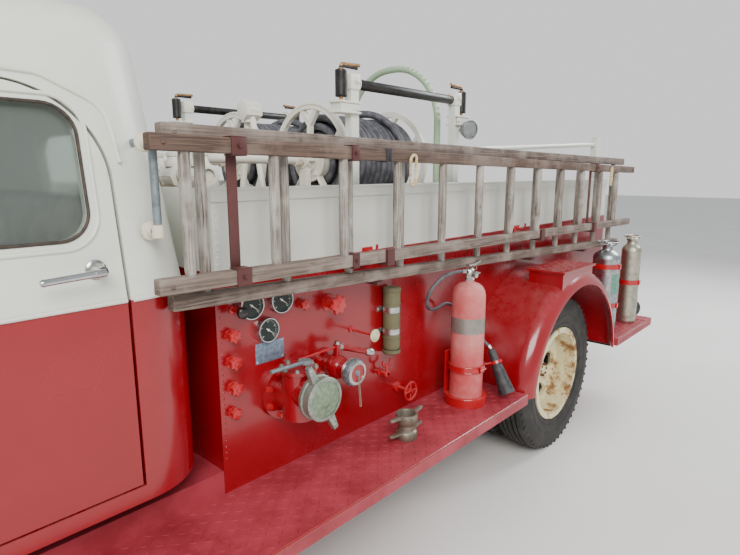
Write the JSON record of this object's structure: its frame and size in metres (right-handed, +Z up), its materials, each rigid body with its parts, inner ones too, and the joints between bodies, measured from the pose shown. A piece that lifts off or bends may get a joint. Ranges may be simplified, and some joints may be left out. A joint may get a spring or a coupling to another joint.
{
  "type": "fire engine",
  "caption": "Old bonneted fire engine with a two-tone cab, side pump panel, ladders hung along one side, hose reels on top, twin rear wheels and running boards.",
  "frame": {"origin": "on the ground, below the middle of the length and width", "axes": "+X to the front, +Y to the left side, +Z up"},
  "size_m": [6.215, 2.18, 2.1969],
  "materials": {
    "red_paint": "satin",
    "cream_paint": "satin",
    "wheel_paint": "satin",
    "frame_black": "satin",
    "reel_paint": "satin",
    "faded_red_paint": "matte",
    "olive_paint": "matte",
    "tyre_rubber": "matte",
    "hose_rubber": "matte",
    "black_rollers": "matte",
    "black_plastic": "gloss",
    "window_glass": "gloss",
    "bright_chrome": "gloss",
    "old_brass": "satin",
    "weathered_steel": "satin",
    "rusty_steel": "matte",
    "cast_iron_block": "matte",
    "weathered_wood": "matte",
    "seat_leather": "satin"
  },
  "bodies": {
    "chassis": {"body_decks": "weathered_wood", "body_panels": "red_paint", "body_rails": "cream_paint", "body_upper": "cream_paint", "cab_body": "red_paint", "cab_floor": "frame_black", "cab_glass": "window_glass", "cab_roof": "cream_paint", "chassis_frame": "frame_black", "dashboard": "red_paint", "engine_and_pump": "cast_iron_block", "exhaust": "rusty_steel", "extinguisher": "faded_red_paint", "extinguisher_bracket": "red_paint", "extinguisher_hose": "hose_rubber", "front_axle": "frame_black", "front_bumper": "cream_paint", "front_fenders": "red_paint", "grab_handles": "weathered_steel", "grille_shell": "bright_chrome", "guide_rollers": "black_rollers", "hose_adapter": "old_brass", "ladder_brackets": "red_paint", "ladders": "weathered_wood", "lamps": "bright_chrome", "manifold": "reel_paint", "panel_controls": "old_brass", "panel_tube": "olive_paint", "pump_fittings": "red_paint", "rear_axle": "frame_black", "rear_extinguishers": "old_brass", "rear_fenders": "red_paint", "reel_stands": "reel_paint", "running_boards": "red_paint", "seat": "seat_leather", "suction_caps": "weathered_steel"},
    "knuckle_left": {"knuckle_left": "frame_black"},
    "knuckle_right": {"knuckle_right": "frame_black"},
    "front_wheels_l": {"front_tyre_left": "tyre_rubber", "front_wheel_left": "wheel_paint"},
    "front_wheels_r": {"front_tyre_right": "tyre_rubber", "front_wheel_right": "wheel_paint"},
    "rear_wheels_l": {"rear_tyres_left": "tyre_rubber", "rear_wheel_left": "wheel_paint"},
    "rear_wheels_r": {"rear_tyres_right": "tyre_rubber", "rear_wheel_right": "wheel_paint"},
    "steering": {"steering_wheel": "black_plastic"},
    "track_rod": {"tie_rod": "frame_black"},
    "door_l": {"door_left": "red_paint", "door_glass_left": "window_glass"},
    "door_r": {"door_right": "red_paint", "door_glass_right": "window_glass"},
    "hood_lid": {"hood": "red_paint"},
    "hose_reel_l": {"reel_left": "reel_paint", "reel_hose_left": "hose_rubber"},
    "hose_reel_r": {"reel_right": "reel_paint", "reel_hose_right": "hose_rubber"}
  },
  "joints": [
    {"name": "steer_left", "type": "hinge", "parent": "chassis", "child": "knuckle_left", "pos_m": [2.2975, 0.625, 0.46], "axis": [0, 0, 1], "range_deg": [-30, 30]},
    {"name": "steer_right", "type": "hinge", "parent": "chassis", "child": "knuckle_right", "pos_m": [2.2975, -0.625, 0.46], "axis": [0, 0, 1], "range_deg": [-30, 30]},
    {"name": "steering_wheel_turn", "type": "hinge", "parent": "chassis", "child": "steering", "pos_m": [1.3385, 0.38, 1.24], "axis": [-0.8192, 0, 0.5736], "range_deg": [-500, 500]},
    {"name": "track_rod_slide", "type": "slide", "parent": "chassis", "child": "track_rod", "axis": [0, 1, 0], "range_m": [-0.09, 0.09]},
    {"name": "front_wheel_left_spin", "type": "hinge", "parent": "knuckle_left", "child": "front_wheels_l", "pos_m": [2.2975, 0.76, 0.46], "axis": [0, 1, 0], "continuous": true},
    {"name": "front_wheel_right_spin", "type": "hinge", "parent": "knuckle_right", "child": "front_wheels_r", "pos_m": [2.2975, -0.76, 0.46], "axis": [0, 1, 0], "continuous": true},
    {"name": "rear_wheels_left_spin", "type": "hinge", "parent": "chassis", "child": "rear_wheels_l", "pos_m": [-1.7625, 0.76, 0.46], "axis": [0, 1, 0], "continuous": true},
    {"name": "rear_wheels_right_spin", "type": "hinge", "parent": "chassis", "child": "rear_wheels_r", "pos_m": [-1.7625, -0.76, 0.46], "axis": [0, 1, 0], "continuous": true},
    {"name": "door_left_swing", "type": "hinge", "parent": "chassis", "child": "door_l", "pos_m": [1.5095, 0.828, 1.3], "axis": [0, 0, -1], "range_deg": [0, 65]},
    {"name": "door_right_swing", "type": "hinge", "parent": "chassis", "child": "door_r", "pos_m": [1.5095, -0.828, 1.3], "axis": [0, 0, 1], "range_deg": [0, 65]},
    {"name": "hood_lift", "type": "hinge", "parent": "chassis", "child": "hood_lid", "pos_m": [1.7615, 0, 1.343], "axis": [0, -1, 0], "range_deg": [0, 45]},
    {"name": "reel_left_spin", "type": "hinge", "parent": "chassis", "child": "hose_reel_l", "pos_m": [-0.7125, 0.3, 1.69], "axis": [1, 0, 0], "continuous": true},
    {"name": "reel_right_spin", "type": "hinge", "parent": "chassis", "child": "hose_reel_r", "pos_m": [-0.7125, -0.3, 1.69], "axis": [1, 0, 0], "continuous": true}
  ],
  "couplings": [
    {"joint": "steer_right", "follows": "steer_left", "ratio": 1},
    {"joint": "steering_wheel_turn", "follows": "steer_left", "ratio": 16},
    {"joint": "track_rod_slide", "follows": "steer_left", "m_per_rad": -0.15}
  ]
}
